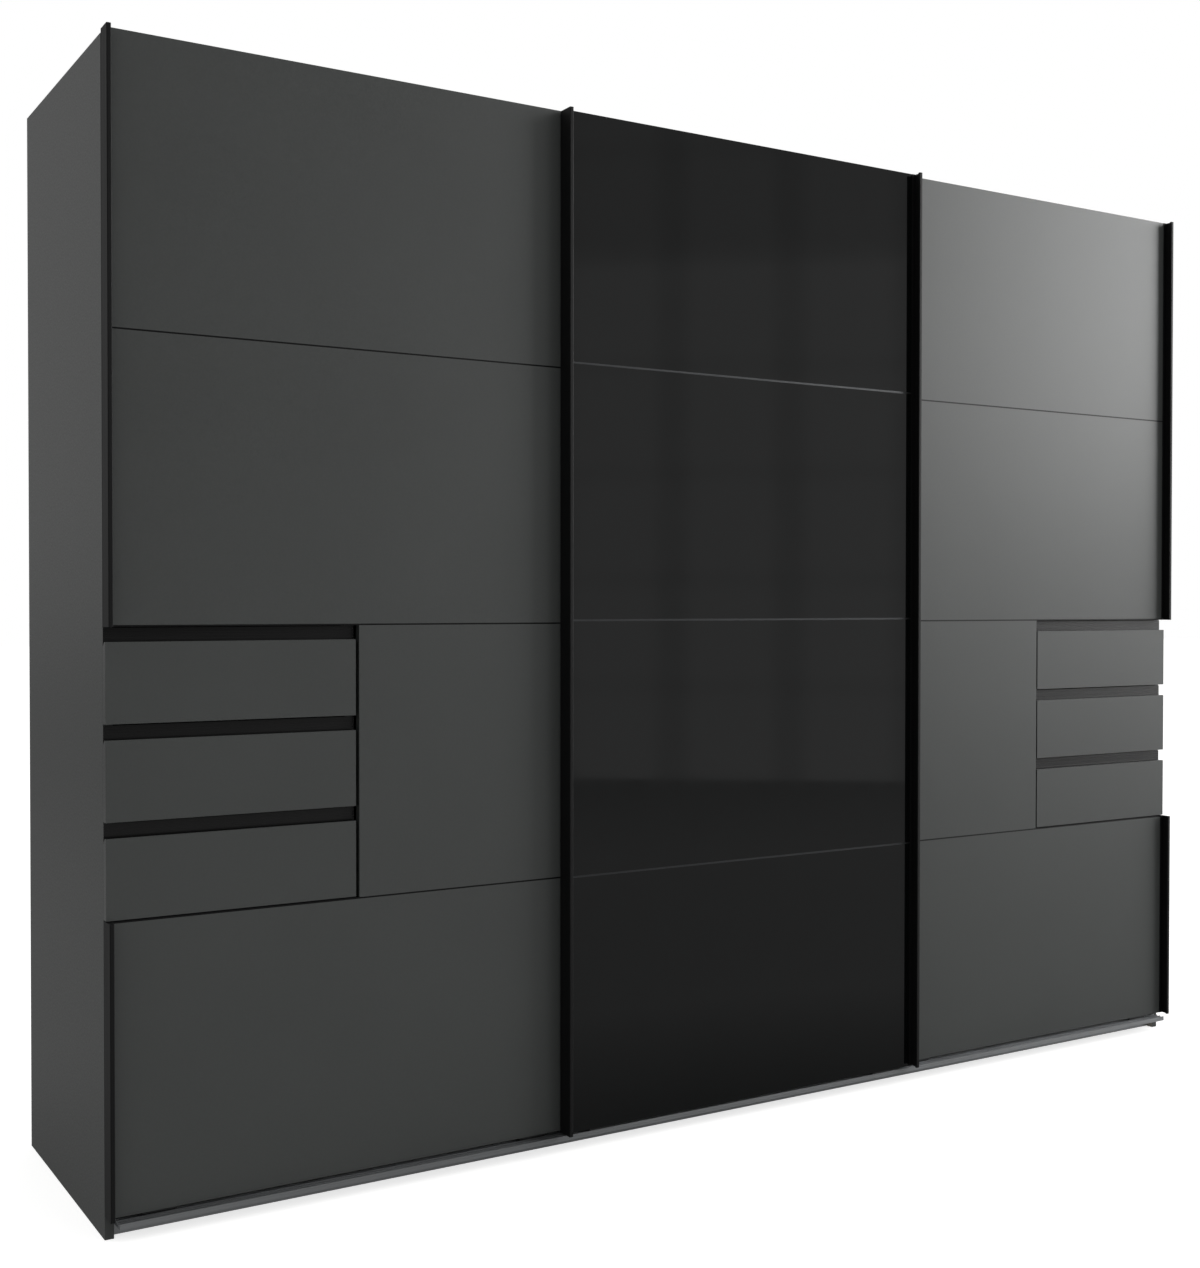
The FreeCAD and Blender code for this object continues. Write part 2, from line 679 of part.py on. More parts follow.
def outerDoor():
    left, right = "-(half - grip_wall)", "-(outer_inner + edge_wall)"
    full = "half - grip_wall - outer_inner - edge_wall"
    short = "cut_x - outer_inner - edge_wall"
    rise = "field - strip_height"
    end = "field - strip_height / 2"
    strip = "strip_height"
    spans = [("1", left, "line_mid + field + strip_height / 2", full, end, strip, None),
             ("2", left, "line_mid + strip_height / 2", full, rise, strip, strip),
             ("3", "-cut_x", "line_low + strip_height / 2", short, rise, None, None),
             ("4", left, "door_bottom", full, end, None, strip)]
    boards = []
    for number, x, z, width, height, below, above in spans:
        board = doorBoard("left_door_board_" + number, width, height, "board", below, above)
        place(board, x, "outer_back", z)
        boards.append(board)
    # The strips beside the cut-out have no tongue towards it.
    strips = []
    for number, z, below, above in (("1", "line_mid + field", True, True),
                                    ("2", "line_mid", False, True), ("3", "line_low", True, False)):
        strip = dividingStrip("left_door_strip_" + number, "strip_height", "board", "board / 2", full,
                              below, above)
        place(strip, left, "outer_back", z)
        strips.append(strip)
    upper = gripProfile("left_door_grip_upper", "board", "door_top - line_mid + strip_height / 2")
    place(upper, "-half", "outer_back", "line_mid - strip_height / 2")
    lower = gripProfile("left_door_grip_lower", "board", "field + strip_height / 2")
    place(lower, "-half", "outer_back", "door_bottom")
    edge = extrusion("left_door_edge", "XY", [
        ("0", "-board"), ("0", "edge_flange"), ("-edge_cover", "edge_flange"), ("-edge_cover", "0"),
        ("-edge_wall", "0"), ("-edge_wall", "-board")], "door_top - door_bottom")
    place(edge, "-outer_inner", "outer_back", "door_bottom")
    hangers, shoes = [], []
    for name, x in (("a", "-outer_wheel_x"), ("b", "-outer_wheel_inner")):
        hanger = hangerPlate("left_door_hanger_" + name)
        place(hanger, x, "outer_back", "wheel_height")
        pin = axlePin("left_door_axle_" + name, plateFace, "outer_lane")
        place(pin, x, "front + " + plateFace, "wheel_height")
        hangers += [hanger, pin]
    for name, x in (("a", "-(half - shoe_inset)"), ("b", "-(outer_inner + shoe_inset + shoe_width)")):
        shoe = guideShoe("left_door_shoe_" + name, "door_bottom")
        place(shoe, x, "front - outer_channel", "door_bottom")
        shoes.append(shoe)
    return [group("left_door_boards", boards), group("left_door_strips", strips),
            group("left_door_profiles", [upper, lower, edge]),
            group("left_door_hangers", hangers), group("left_door_guides", shoes)]


def middleDoor():
    left = "middle_start + grip_wall"
    width = "middle_width - 2 * grip_wall"
    thickness = "glass_board + glass_sheet"
    top = "middle_top - middle_bottom - 3 * glass_field - glass_strip / 2"
    heights = ["glass_field - glass_strip / 2", "glass_field - glass_strip",
               "glass_field - glass_strip", top]
    boards, panes, strips, grips, hangers, shoes = [], [], [], [], [], []
    for index, height in enumerate(heights):
        number = str(4 - index)
        low = "middle_bottom + %d * glass_field" % index
        z = low if index == 0 else low + " + glass_strip / 2"
        below = "glass_strip" if index > 0 else None
        above = "glass_strip" if index < 3 else None
        board = doorBoard("middle_door_board_" + number, width, height, "glass_board", below, above)
        place(board, left, "middle_back", z)
        boards.append(board)
        panes.append(plate("middle_door_pane_" + number, (left, "glass_face", z),
                           (width, "glass_sheet", height)))
        if index > 0:
            strip = dividingStrip("middle_door_strip_" + number, "glass_strip", thickness,
                                  "glass_board / 2", width)
            place(strip, left, "middle_back", low)
            strips.append(strip)
    grip = gripProfile("middle_door_grip_left", thickness, "middle_top - middle_bottom")
    place(grip, "middle_start", "middle_back", "middle_bottom")
    grips = [grip, mirror("middle_door_grip_right", grip, "middle_offset")]
    for name, x in (("a", "middle_start + hanger_inset"), ("b", "middle_end - hanger_inset")):
        strap = hangerStrap("middle_door_hanger_" + name)
        place(strap, x + " - hanger_width / 2", "front", "strap_top")
        pin = axlePin("middle_door_axle_" + name, strapFace, "middle_lane")
        place(pin, x, "front + " + strapFace, "wheel_height")
        hangers += [strap, pin]
    for name, x in (("a", "middle_start + shoe_inset"), ("b", "middle_end - shoe_inset - shoe_width")):
        shoe = guideShoe("middle_door_shoe_" + name, "middle_bottom")
        place(shoe, x, "front - middle_channel", "middle_bottom")
        shoes.append(shoe)
    return [group("middle_door_boards", boards), group("middle_door_glass", panes),
            group("middle_door_strips", strips), group("middle_door_profiles", grips),
            group("middle_door_hangers", hangers), group("middle_door_guides", shoes)]


def doorWheels():
    wheels = []
    for name, opposite, x, lane, middle in (
            ("left_door_wheel_1", "right_door_wheel_1", "-outer_wheel_x", "outer_lane", "0"),
            ("left_door_wheel_2", "right_door_wheel_2", "-outer_wheel_inner", "outer_lane", "0"),
            ("middle_door_wheel_1", "middle_door_wheel_2", "middle_start + hanger_inset", "middle_lane",
             "middle_offset")):
        wheel = hangerWheel(name)
        place(wheel, x, "front + " + lane, "wheel_height")
        wheels += [wheel, mirror(opposite, wheel, middle)]
    return wheels


# ---- drawers ----

def runnerMember(label, height, opensRight):
    # A C section: the web against a board and two flanges away from it.
    edge = "%s / 2" % height
    side = "" if opensRight else "-"
    web, tip = side + "runner_sheet", side + "runner_depth"
    corners = [("0", "-" + edge), (tip, "-" + edge), (tip, "-%s + runner_sheet" % edge),
               (web, "-%s + runner_sheet" % edge), (web, "%s - runner_sheet" % edge),
               (tip, "%s - runner_sheet" % edge), (tip, edge), ("0", edge)]
    return extrusion(label, "XZ", corners, "runner_length")


def drawerLevel(row):
    # Underside of the front in this row.
    return "(line_mid - strip_height / 2 - %d * module + front_reveal)" % row


def runnerPair(row, kind, height, offset, opensInward):
    # The two members at the two sides of one drawer; "offset" is from the carcass to the web.
    members = []
    z = drawerLevel(row) + " + box_lift + runner_lift"
    for side, x, opens in (("a", "-inner + " + offset, opensInward),
                           ("b", "-(upright_x + board) - " + offset, not opensInward)):
        member = runnerMember("%s_%d_%s" % (kind, row, side), height, opens)
        place(member, x, "front + runner_start", z)
        members.append(member)
    return members


def drawerFront(row):
    # A board with a bevel behind its upper edge, and a bent grip strip: its short leg lies on
    # the bevel, its wall closes the finger gap, and the groove between them takes the fingers.
    name = "left_drawer_%d_" % row
    height = "(module - grip_gap - front_reveal)"
    foot, top = height + " - finger_bevel", height + " + grip_gap - finger_joint"
    leg = "sqrt(2) * finger_sheet"
    outlines = (("board", [("-board", "0"), ("0", "0"), ("0", foot), ("-finger_bevel", height),
                           ("-board", height)]),
                ("strip", [("0", foot), ("0", top), ("-finger_sheet", top),
                           ("-finger_sheet", "%s + finger_sheet + %s" % (foot, leg)),
                           ("-finger_bevel + " + leg, height), ("-finger_bevel", height)]))
    members = []
    for kind, corners in outlines:
        member = extrusion(name + kind, "YZ", corners, "half - front_end")
        place(member, "-half", "front - front_back_gap", drawerLevel(row))
        members.append(member)
    return group(name + "front", members)


def drawerBox(row):
    name = "left_drawer_%d_" % row
    left, right = "-inner + runner_gap", "-(upright_x + board) - runner_gap"
    z = drawerLevel(row) + " + box_lift"
    y = "front - front_back_gap"
    sides = []
    for side, sign, x in (("left", "", left), ("right", "-", right)):
        deep = "%s(box_board - bottom_groove)" % sign
        wall = sign + "box_board"
        corners = [("0", "0"), (wall, "0"), (wall, "bottom_lift"), (deep, "bottom_lift"),
                   (deep, "bottom_lift + box_bottom"), (wall, "bottom_lift + box_bottom"),
                   (wall, "box_height"), ("0", "box_height")]
        board = extrusion(name + "side_" + side, "XZ", corners, "box_depth")
        place(board, x, y, z)
        sides.append(board)
    above = "bottom_lift + box_bottom"
    rear = plate(name + "rear", (left + " + box_board", y + " + box_depth - box_board", z + " + " + above),
                 ("box_width - 2 * box_board", "box_board", "box_height - (%s)" % above))
    inset = "box_board - bottom_groove + sheet_play"
    floor = plate(name + "floor", (left + " + " + inset, y, z + " + bottom_lift"),
                  ("box_width - 2 * (%s)" % inset, "box_depth", "box_bottom"))
    return group(name + "box", sides + [rear, floor])


def drawers():
    nodes = []
    inside = "(runner_height - 2 * runner_sheet - 2 * running_gap)"
    for row in drawerRows:
        slides = runnerPair(row, "drawer_member", inside, "runner_gap", False)
        nodes += [drawerFront(row), drawerBox(row), group("left_drawer_%d_slides" % row, slides)]
    return nodes


def bothSides(label, members):
    # One node for the pieces of the left tower and their mirror images.
    return group(label, members + [mirror(item.Name + "_mirrored", item) for item in members])


def rightName(node):
    return node.Label.replace("left", "right")


fillSheet()
doc.recompute()

leftCarcass = [sidePanel(), partition(), towerUpright()]
leftDoor = outerDoor()
leftDrawers = drawers()
rails = [member for row in drawerRows
         for member in runnerPair(row, "carcass_member", "runner_height", "0", True)]
mirrored = [mirror(rightName(node), node) for node in leftCarcass + leftDoor + leftDrawers]
shared = [
    bayBoards("top_boards", "front", "top_level - board", "sheet_front - front", "board"),
    bayBoards("bottom_boards", "front", "plinth_height", "sheet_front - front", "board"),
    backSheets(), plinthBoards(), bothSides("tower_boards", towerBoards()),
    bothSides("runner_rails", rails), hatShelves(), shelfSupports(), clothesRods(), rodSockets(),
    topTrack(), guideRail(), trackStops(),
]
nodes = leftCarcass + leftDoor + leftDrawers + mirrored + shared + middleDoor() + doorWheels()

doc.recompute()
for item in doc.Objects:
    if "Invalid" in item.State or "Error" in item.State:
        raise RuntimeError("%s did not build: %s" % (item.Name, item.State))

os.makedirs("parts", exist_ok=True)
for node in nodes:
    shape = node.Shape
    if shape.isNull() or not shape.isValid():
        raise RuntimeError(node.Label + " has no valid shape")
    shape.exportStep("parts/%s.step" % node.Label)
    print("%-26s %2d solids" % (node.Label, len(shape.Solids)))
print(len(nodes), "nodes")
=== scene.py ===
import math
import bpy
import numpy as np
from mathutils import Euler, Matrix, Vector


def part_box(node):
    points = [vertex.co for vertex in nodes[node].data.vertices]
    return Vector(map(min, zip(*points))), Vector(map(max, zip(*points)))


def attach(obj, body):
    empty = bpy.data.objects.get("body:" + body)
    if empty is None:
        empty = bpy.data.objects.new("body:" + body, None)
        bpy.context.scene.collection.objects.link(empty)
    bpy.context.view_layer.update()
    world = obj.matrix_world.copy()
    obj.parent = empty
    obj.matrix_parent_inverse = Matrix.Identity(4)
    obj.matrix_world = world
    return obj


# Sliding door wardrobe in metres: +X to the right along the front, +Y to the back, +Z up.
# The construction comes from the frame. This script adds the finishes, the heads of the
# fasteners, a floor, studio light and a camera. Sizes in the dictionaries of finishes and
# fasteners are in mm.

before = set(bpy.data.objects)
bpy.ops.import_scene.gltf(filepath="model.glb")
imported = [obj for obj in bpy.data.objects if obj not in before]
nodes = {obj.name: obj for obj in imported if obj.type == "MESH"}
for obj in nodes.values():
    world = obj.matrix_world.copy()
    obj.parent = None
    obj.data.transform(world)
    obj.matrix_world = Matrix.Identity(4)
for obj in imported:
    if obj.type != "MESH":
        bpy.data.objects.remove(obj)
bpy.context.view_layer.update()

# The lowest and the highest corner of each node.
boxes = {name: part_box(name) for name in nodes}
low = {name: np.array(box[0]) for name, box in boxes.items()}
high = {name: np.array(box[1]) for name, box in boxes.items()}

millimetre = 0.001
white = (1.0, 1.0, 1.0, 1.0)
noiseSpan = (0.3, 0.7)      # what noise mostly keeps to
unitSpan = (0.0, 1.0)
halfway = 0.5
sides = ("left", "right")
doors = ("left", "middle", "right")
drawerRows = (1, 2, 3)
wheelNumbers = (1, 2)
print("frame loaded:", len(nodes), "nodes")


def linearColour(code):
    # An sRGB hex value as linear red, green, blue and full alpha.
    parts = np.array([int(code[i:i + 2], 16) for i in (1, 3, 5)]) / 255.0
    parts = np.where(parts <= 0.04045, parts / 12.92, ((parts + 0.055) / 1.055) ** 2.4)
    return (*[float(part) for part in parts], 1.0)


def addNode(tree, kind, inputs=(), **settings):
    # One shader node with its settings. Inputs stand in the order of the sockets, or by name or
    # number. A socket is linked, a node is linked from its first output in use, a value is set.
    node = tree.nodes.new("ShaderNode" + kind)
    for name, setting in settings.items():
        setattr(node, name, setting)
    pairs = inputs.items() if isinstance(inputs, dict) else enumerate(inputs)
    for key, given in pairs:
        if isinstance(given, bpy.types.Node):
            given = next(output for output in given.outputs if output.enabled)
        if isinstance(given, bpy.types.NodeSocket):
            tree.links.new(given, node.inputs[key])
        else:
            node.inputs[key].default_value = given
    return node


def emptyTree(holder):
    # The cleared node tree of a material or a world.
    holder.use_nodes = True
    holder.node_tree.nodes.clear()
    return holder.node_tree


def newMaterial(name):
    material = bpy.data.materials.new(name)
    return material, emptyTree(material)


def finished(material, colour, rough, fixed, relief=None):
    # The material with its shader. "fixed" holds what is the same all over, and "relief" a field,
    # its depth in mm and its strength.
    tree = material.node_tree
    inputs = {"Base Color": colour, "Roughness": rough, **fixed}
    if relief:
        field, depth, strength = relief
        inputs["Normal"] = addNode(tree, "Bump", {"Height": field, "Distance": depth * millimetre,
                                                  "Strength": strength})
    addNode(tree, "OutputMaterial", {"Surface": addNode(tree, "BsdfPrincipled", inputs)})
    return material


def objectPoints(tree, stretch=(1.0, 1.0, 1.0)):
    # Object coordinates times the stretch: a small factor draws a pattern out along that axis.
    place = addNode(tree, "TexCoord").outputs["Object"]
    return addNode(tree, "Mapping", {"Vector": place, "Scale": stretch})


def noiseField(tree, size, detail=2.0, stretch=(1.0, 1.0, 1.0), roughness=0.5):
    # Noise whose cells are "size" mm across before the stretch.
    return addNode(tree, "TexNoise", {
        "Vector": objectPoints(tree, stretch), "Scale": 1.0 / (size * millimetre),
        "Detail": detail, "Roughness": roughness})


def shade(tree, colour, *tones):
    # The colour times brightnesses, each a field, its span and the tones that the span becomes.
    parts = [addNode(tree, "MapRange", (field, *span, *tone)) for field, span, tone in tones]
    brightness = parts[0]
    for part in parts[1:]:
        brightness = addNode(tree, "Math", (brightness, part), operation="MULTIPLY")
    grey = addNode(tree, "CombineColor", (brightness, brightness, brightness))
    return addNode(tree, "Mix", {0: 1.0, 6: colour, 7: grey}, data_type="RGBA",
                   blend_type="MULTIPLY")


def facing(tree, axis):
    # 1 where the surface faces along an axis, -1 where it faces against it.
    normal = addNode(tree, "NewGeometry").outputs["True Normal"]
    return addNode(tree, "SeparateXYZ", (normal,)).outputs[axis]


def onFace(tree, axis):
    # 1 on the two faces that lie square to an axis, 0 on the edges round them.
    either = addNode(tree, "Math", (facing(tree, axis),), operation="ABSOLUTE")
    return addNode(tree, "Math", (either, halfway), operation="GREATER_THAN")


# Dark grey decor with a touch of green. Its pressed pearl is about 0.8 mm, drawn coarser to show.
graphite = {
    "face": "#3b3d3c", "tape": "#2e302f",
    "roughness": 0.40, "tapeRoughness": 0.32, "glint": 0.05,
    "pearl": 3.2, "pearlDetail": 3.0, "pearlTone": (0.95, 1.05),
    "cloud": 260.0, "cloudTone": (0.97, 1.03),      # slow drift of the press and of the paper
    "relief": (0.06, 0.35),                         # depth and strength
    "fixed": {"IOR": 1.5},
}


def graphiteLook(tree, axis):
    # Colour, tones, roughness and pearl of a board whose faces lie square to an axis.
    pearl = noiseField(tree, graphite["pearl"], graphite["pearlDetail"])
    cloud = noiseField(tree, graphite["cloud"])
    flat = onFace(tree, axis)
    colour = addNode(tree, "Mix", {
        0: flat, 6: linearColour(graphite["tape"]), 7: linearColour(graphite["face"])},
        data_type="RGBA")
    glint = addNode(tree, "MapRange", (pearl, *noiseSpan, -graphite["glint"], graphite["glint"]))
    level = addNode(tree, "MapRange", (flat, *unitSpan, graphite["tapeRoughness"],
                                       graphite["roughness"]))
    rough = addNode(tree, "Math", (glint, level), operation="ADD")
    tones = ((cloud, noiseSpan, graphite["cloudTone"]), (pearl, noiseSpan, graphite["pearlTone"]))
    return colour, tones, rough, pearl


def melamineFinish(name, axis):
    # Melamine-faced chipboard: a printed paper pressed under resin against an embossed plate.
    # To the eye: an even dark grey with a fine pearl that breaks reflections into a soft sheen.
    material, tree = newMaterial(name)
    colour, tones, rough, pearl = graphiteLook(tree, axis)
    return finished(material, shade(tree, colour, *tones), rough, graphite["fixed"],
                    (pearl, *graphite["relief"]))


# Printed linen. Real threads are about 0.4 mm wide, drawn coarser to show.
linen = {
    "light": "#a8a39a", "dark": "#8c8880", "contrast": (0.38, 0.62),
    "thread": 1.6, "run": 0.05,                     # width, and how far it is drawn out
    "roughness": 0.5, "glint": 0.04,
    "relief": (0.05, 0.3),
    "fixed": {"IOR": 1.5},
}


def linenColour(tree, weave):
    amount = addNode(tree, "MapRange", (weave, *linen["contrast"], *unitSpan))
    return addNode(tree, "Mix", {
        0: amount, 6: linearColour(linen["dark"]), 7: linearColour(linen["light"])},
        data_type="RGBA")


def linenFinish(name, axis, graphiteSide=0):
    # The inner decor: linen printed on chipboard. Threads run both ways and show as a soft weave.
    # Edges are taped in graphite; so is the face that "graphiteSide" points to, +1 or -1.
    material, tree = newMaterial(name)
    run = linen["run"]
    across = noiseField(tree, linen["thread"], stretch=(run, 1.0, 1.0))
    along = noiseField(tree, linen["thread"], stretch=(1.0, run, run))
    both = addNode(tree, "Math", (across, along), operation="ADD")
    weave = addNode(tree, "Math", (both, halfway), operation="MULTIPLY")
    if graphiteSide:
        inward = addNode(tree, "Math", (facing(tree, axis), -float(graphiteSide)),
                         operation="MULTIPLY")
        shown = addNode(tree, "Math", (inward, halfway), operation="GREATER_THAN")
    else:
        shown = onFace(tree, axis)
    pearl = noiseField(tree, graphite["pearl"], graphite["pearlDetail"])
    outside = shade(tree, linearColour(graphite["face"]), (pearl, noiseSpan, graphite["pearlTone"]))
    rough = addNode(tree, "MapRange", (pearl, *noiseSpan, graphite["roughness"] - linen["glint"],
                                       linen["roughness"]))
    colour = addNode(tree, "Mix", {0: shown, 6: outside, 7: linenColour(tree, weave)},
                     data_type="RGBA")
    return finished(material, colour, rough, linen["fixed"], (weave, *linen["relief"]))


blackGlass = {
    "face": "#060707", "edge": "#0d1512",
    "smear": 90.0, "smearDetail": 3.0, "smearTone": (0.9, 1.1), "smearRoughness": (0.03, 0.06),
    "wave": 320.0, "waveDetail": 1.0, "waveStretch": (1.0, 1.0, 0.5),
    "relief": (0.05, 1.0),
    "fixed": {"IOR": 1.5},
}


def blackGlassFinish(name):
    # Float glass, black enamelled behind: a deep mirror, with the slow roller wave of toughening.
    # To the eye: nearly black, and it shows the studio softly. The cut edges are a bottle green.
    material, tree = newMaterial(name)
    smear = noiseField(tree, blackGlass["smear"], blackGlass["smearDetail"])
    wave = noiseField(tree, blackGlass["wave"], blackGlass["waveDetail"],
                      blackGlass["waveStretch"])
    colour = addNode(tree, "Mix", {
        0: onFace(tree, "Y"), 6: linearColour(blackGlass["edge"]),
        7: linearColour(blackGlass["face"])}, data_type="RGBA")
    rough = addNode(tree, "MapRange", (smear, *noiseSpan, *blackGlass["smearRoughness"]))
    return finished(material, shade(tree, colour, (smear, noiseSpan, blackGlass["smearTone"])),
                    rough, blackGlass["fixed"], (wave, *blackGlass["relief"]))


# Die lines are about 0.2 mm wide on a real extrusion, drawn coarser to show.
extrusion = {
    "dieLine": 1.4, "draw": 0.004,                  # width, and how far it is drawn out
    "cloud": 180.0, "cloudTone": (0.97, 1.03),
    "glint": 0.04,
    "relief": (0.02, 0.25),
}
metal = {"Metallic": 1.0}


def blackOxide(level):
    # Dyed black, the oxide skin hides the metal, and only its own gloss at this level is left.
    return {"IOR": 1.5, "Specular IOR Level": level}


aluminium = {
    # colour, roughness, the way it was drawn, strength of the die lines, fixed values
    "pulls": ("#0a0a0b", 0.55, "Z", 0.1, blackOxide(0.28)),
    "blackStrips": ("#060607", 0.50, "X", 0.1, blackOxide(0.2)),
    "silverStrips": ("#4a4b4c", 0.36, "X", 0.06, metal),
    "guideRail": ("#aeb0b2", 0.45, "X", 0.06, metal),
    "topTrack": ("#b9babc", 0.30, "X", 0.1, metal),
}


def extrudedFinish(name, look):
    # Extruded aluminium, bare or anodised: a satin metal with faint die lines along its length.
    code, roughness, runAxis, streak, fixed = aluminium[look]
    material, tree = newMaterial(name)
    stretch = tuple(extrusion["draw"] if axis == runAxis else 1.0 for axis in "XYZ")
    lines = noiseField(tree, extrusion["dieLine"], stretch=stretch)
    cloud = noiseField(tree, extrusion["cloud"])
    rough = addNode(tree, "MapRange", (lines, *noiseSpan, roughness - extrusion["glint"],
                                       roughness + extrusion["glint"]))
    colour = shade(tree, linearColour(code), (lines, noiseSpan, (1.0 - streak, 1.0 + streak)),
                   (cloud, noiseSpan, extrusion["cloudTone"]))
    return finished(material, colour, rough, fixed, (lines, *extrusion["relief"]))


zinc = {
    "sheet": "#b4b7ba", "cast": "#a4a7aa",
    "spangle": 5.0, "spangleTone": (0.88, 1.06), "spangleRoughness": (0.30, 0.46),
    "rub": 3.0, "rubDetail": 3.0, "rubTone": (0.95, 1.03),
    "relief": (0.02, 0.2),
}


def zincFinish(name, code):
    # Zinc on steel or cast zinc: pale, slightly blue, with a crystal spangle some mm wide.
    material, tree = newMaterial(name)
    crystals = addNode(tree, "TexVoronoi", {
        "Vector": objectPoints(tree), "Scale": 1.0 / (zinc["spangle"] * millimetre)})
    spangle = addNode(tree, "SeparateColor", (crystals.outputs["Color"],))
    rub = noiseField(tree, zinc["rub"], zinc["rubDetail"])
    rough = addNode(tree, "MapRange", (spangle, *unitSpan, *zinc["spangleRoughness"]))
    colour = shade(tree, linearColour(code), (spangle, unitSpan, zinc["spangleTone"]),
                   (rub, noiseSpan, zinc["rubTone"]))
    return finished(material, colour, rough, metal, (rub, *zinc["relief"]))


polish = {
    "tube": ("#c9cacc", 0.08), "screw": ("#b4b7ba", 0.26), "pin": ("#9a9c9e", 0.3),
    "scratch": 0.8, "scratchDetail": 3.0, "draw": 0.03, "scratchTone": (0.96, 1.02),
    "scratchRoughness": 0.07,
}


def polishedFinish(name, look):
    # Plated or drawn steel, bright, with the hair scratches of handling.
    code, roughness = polish[look]
    material, tree = newMaterial(name)
    scratches = noiseField(tree, polish["scratch"], polish["scratchDetail"],
                           (polish["draw"], 1.0, 1.0))
    rough = addNode(tree, "MapRange", (scratches, *noiseSpan, roughness,
                                       roughness + polish["scratchRoughness"]))
    colour = shade(tree, linearColour(code), (scratches, noiseSpan, polish["scratchTone"]))
    return finished(material, colour, rough, metal)


# The eroded grain of a mould is about 0.1 mm, drawn coarser to show.
moulding = {
    "nylon": ("#c9c6bb", 0.45, {"IOR": 1.53}), "ABS": ("#101011", 0.5, {"IOR": 1.54}),
    "grain": 0.9, "grainDetail": 3.0, "grainRoughness": 0.06,
    "flow": 12.0, "flowTone": (0.94, 1.06),
    "relief": (0.03, 0.4),
}


def mouldedFinish(name, look):
    # Injection moulded plastic: an eroded mould leaves a fine matt grain on an even colour.
    code, roughness, fixed = moulding[look]
    material, tree = newMaterial(name)
    grain = noiseField(tree, moulding["grain"], moulding["grainDetail"])
    flow = noiseField(tree, moulding["flow"])
    rough = addNode(tree, "MapRange", (grain, *noiseSpan, roughness - moulding["grainRoughness"],
                                       roughness + moulding["grainRoughness"]))
    colour = shade(tree, linearColour(code), (flow, noiseSpan, moulding["flowTone"]))
    return finished(material, colour, rough, fixed, (grain, *moulding["relief"]))


# The wire screen's mesh is about 1 mm, drawn coarser to show.
hardboard = {
    "darkFibre": "#6b563f", "lightFibre": "#8f7658",
    "fibre": 5.0, "fibreDetail": 5.0, "fibreStretch": (1.0, 1.0, 0.35), "fibreRoughness": 0.65,
    "patch": 190.0, "patchDetail": 3.0, "patchTone": (0.93, 1.06),
    "screen": 20.0, "screenWander": 0.6, "screenTone": (0.97, 1.02),     # bands 6 mm apart
    "threadStretch": (1.0, 1.0, 0.06),
    "roughness": (0.5, 0.82),                       # printed side, raw side
    "relief": (0.12, 0.5),
    "fixed": {"IOR": 1.45},
}


def hardboardFinish(name):
    # Thin hardboard: printed paper on the inside, and behind it the brown felted fibres with
    # the print of the wire screen they were pressed on.
    material, tree = newMaterial(name)
    behind = addNode(tree, "Math", (facing(tree, "Y"), halfway), operation="GREATER_THAN")
    fibres = noiseField(tree, hardboard["fibre"], hardboard["fibreDetail"],
                        hardboard["fibreStretch"], hardboard["fibreRoughness"])
    patches = noiseField(tree, hardboard["patch"], hardboard["patchDetail"])
    screen = addNode(tree, "TexWave", {
        "Vector": objectPoints(tree), "Scale": 1.0 / (hardboard["screen"] * millimetre),
        "Distortion": hardboard["screenWander"]}, bands_direction="Z").outputs["Fac"]
    brown = addNode(tree, "Mix", {
        0: addNode(tree, "MapRange", (fibres, *noiseSpan, *unitSpan)),
        6: linearColour(hardboard["darkFibre"]), 7: linearColour(hardboard["lightFibre"])},
        data_type="RGBA")
    raw = shade(tree, brown, (patches, noiseSpan, hardboard["patchTone"]),
                (screen, unitSpan, hardboard["screenTone"]))
    weave = noiseField(tree, linen["thread"], stretch=hardboard["threadStretch"])
    colour = addNode(tree, "Mix", {0: behind, 6: linenColour(tree, weave), 7: raw},
                     data_type="RGBA")
    rough = addNode(tree, "MapRange", (behind, *unitSpan, *hardboard["roughness"]))
    return finished(material, colour, rough, hardboard["fixed"],
                    (fibres, *hardboard["relief"]))


foil = {
    "colour": "#9b9892", "roughness": (0.42, 0.5),
    "thread": 1.8, "threadStretch": (1.0, 0.06, 1.0), "threadTone": (0.95, 1.03),
    "cloud": 120.0, "cloudTone": (0.97, 1.03),
    "relief": (0.03, 0.2),
    "fixed": {"IOR": 1.46},
}


def foilFinish(name):
    # Drawer sides: light grey foil wrapped on particle board, smooth and a little glossy.
    material, tree = newMaterial(name)
    weave = noiseField(tree, foil["thread"], stretch=foil["threadStretch"])
    cloud = noiseField(tree, foil["cloud"])
    colour = shade(tree, linearColour(foil["colour"]), (weave, noiseSpan, foil["threadTone"]),
                   (cloud, noiseSpan, foil["cloudTone"]))
    rough = addNode(tree, "MapRange", (cloud, *noiseSpan, *foil["roughness"]))
    return finished(material, colour, rough, foil["fixed"], (weave, *foil["relief"]))


gripStrip = {
    "colour": "#050505", "roughness": 0.28,
    "bevel": 11.0, "rise": 24.5, "sheet": 0.2,      # of the board, of the strip, sheet let in
}


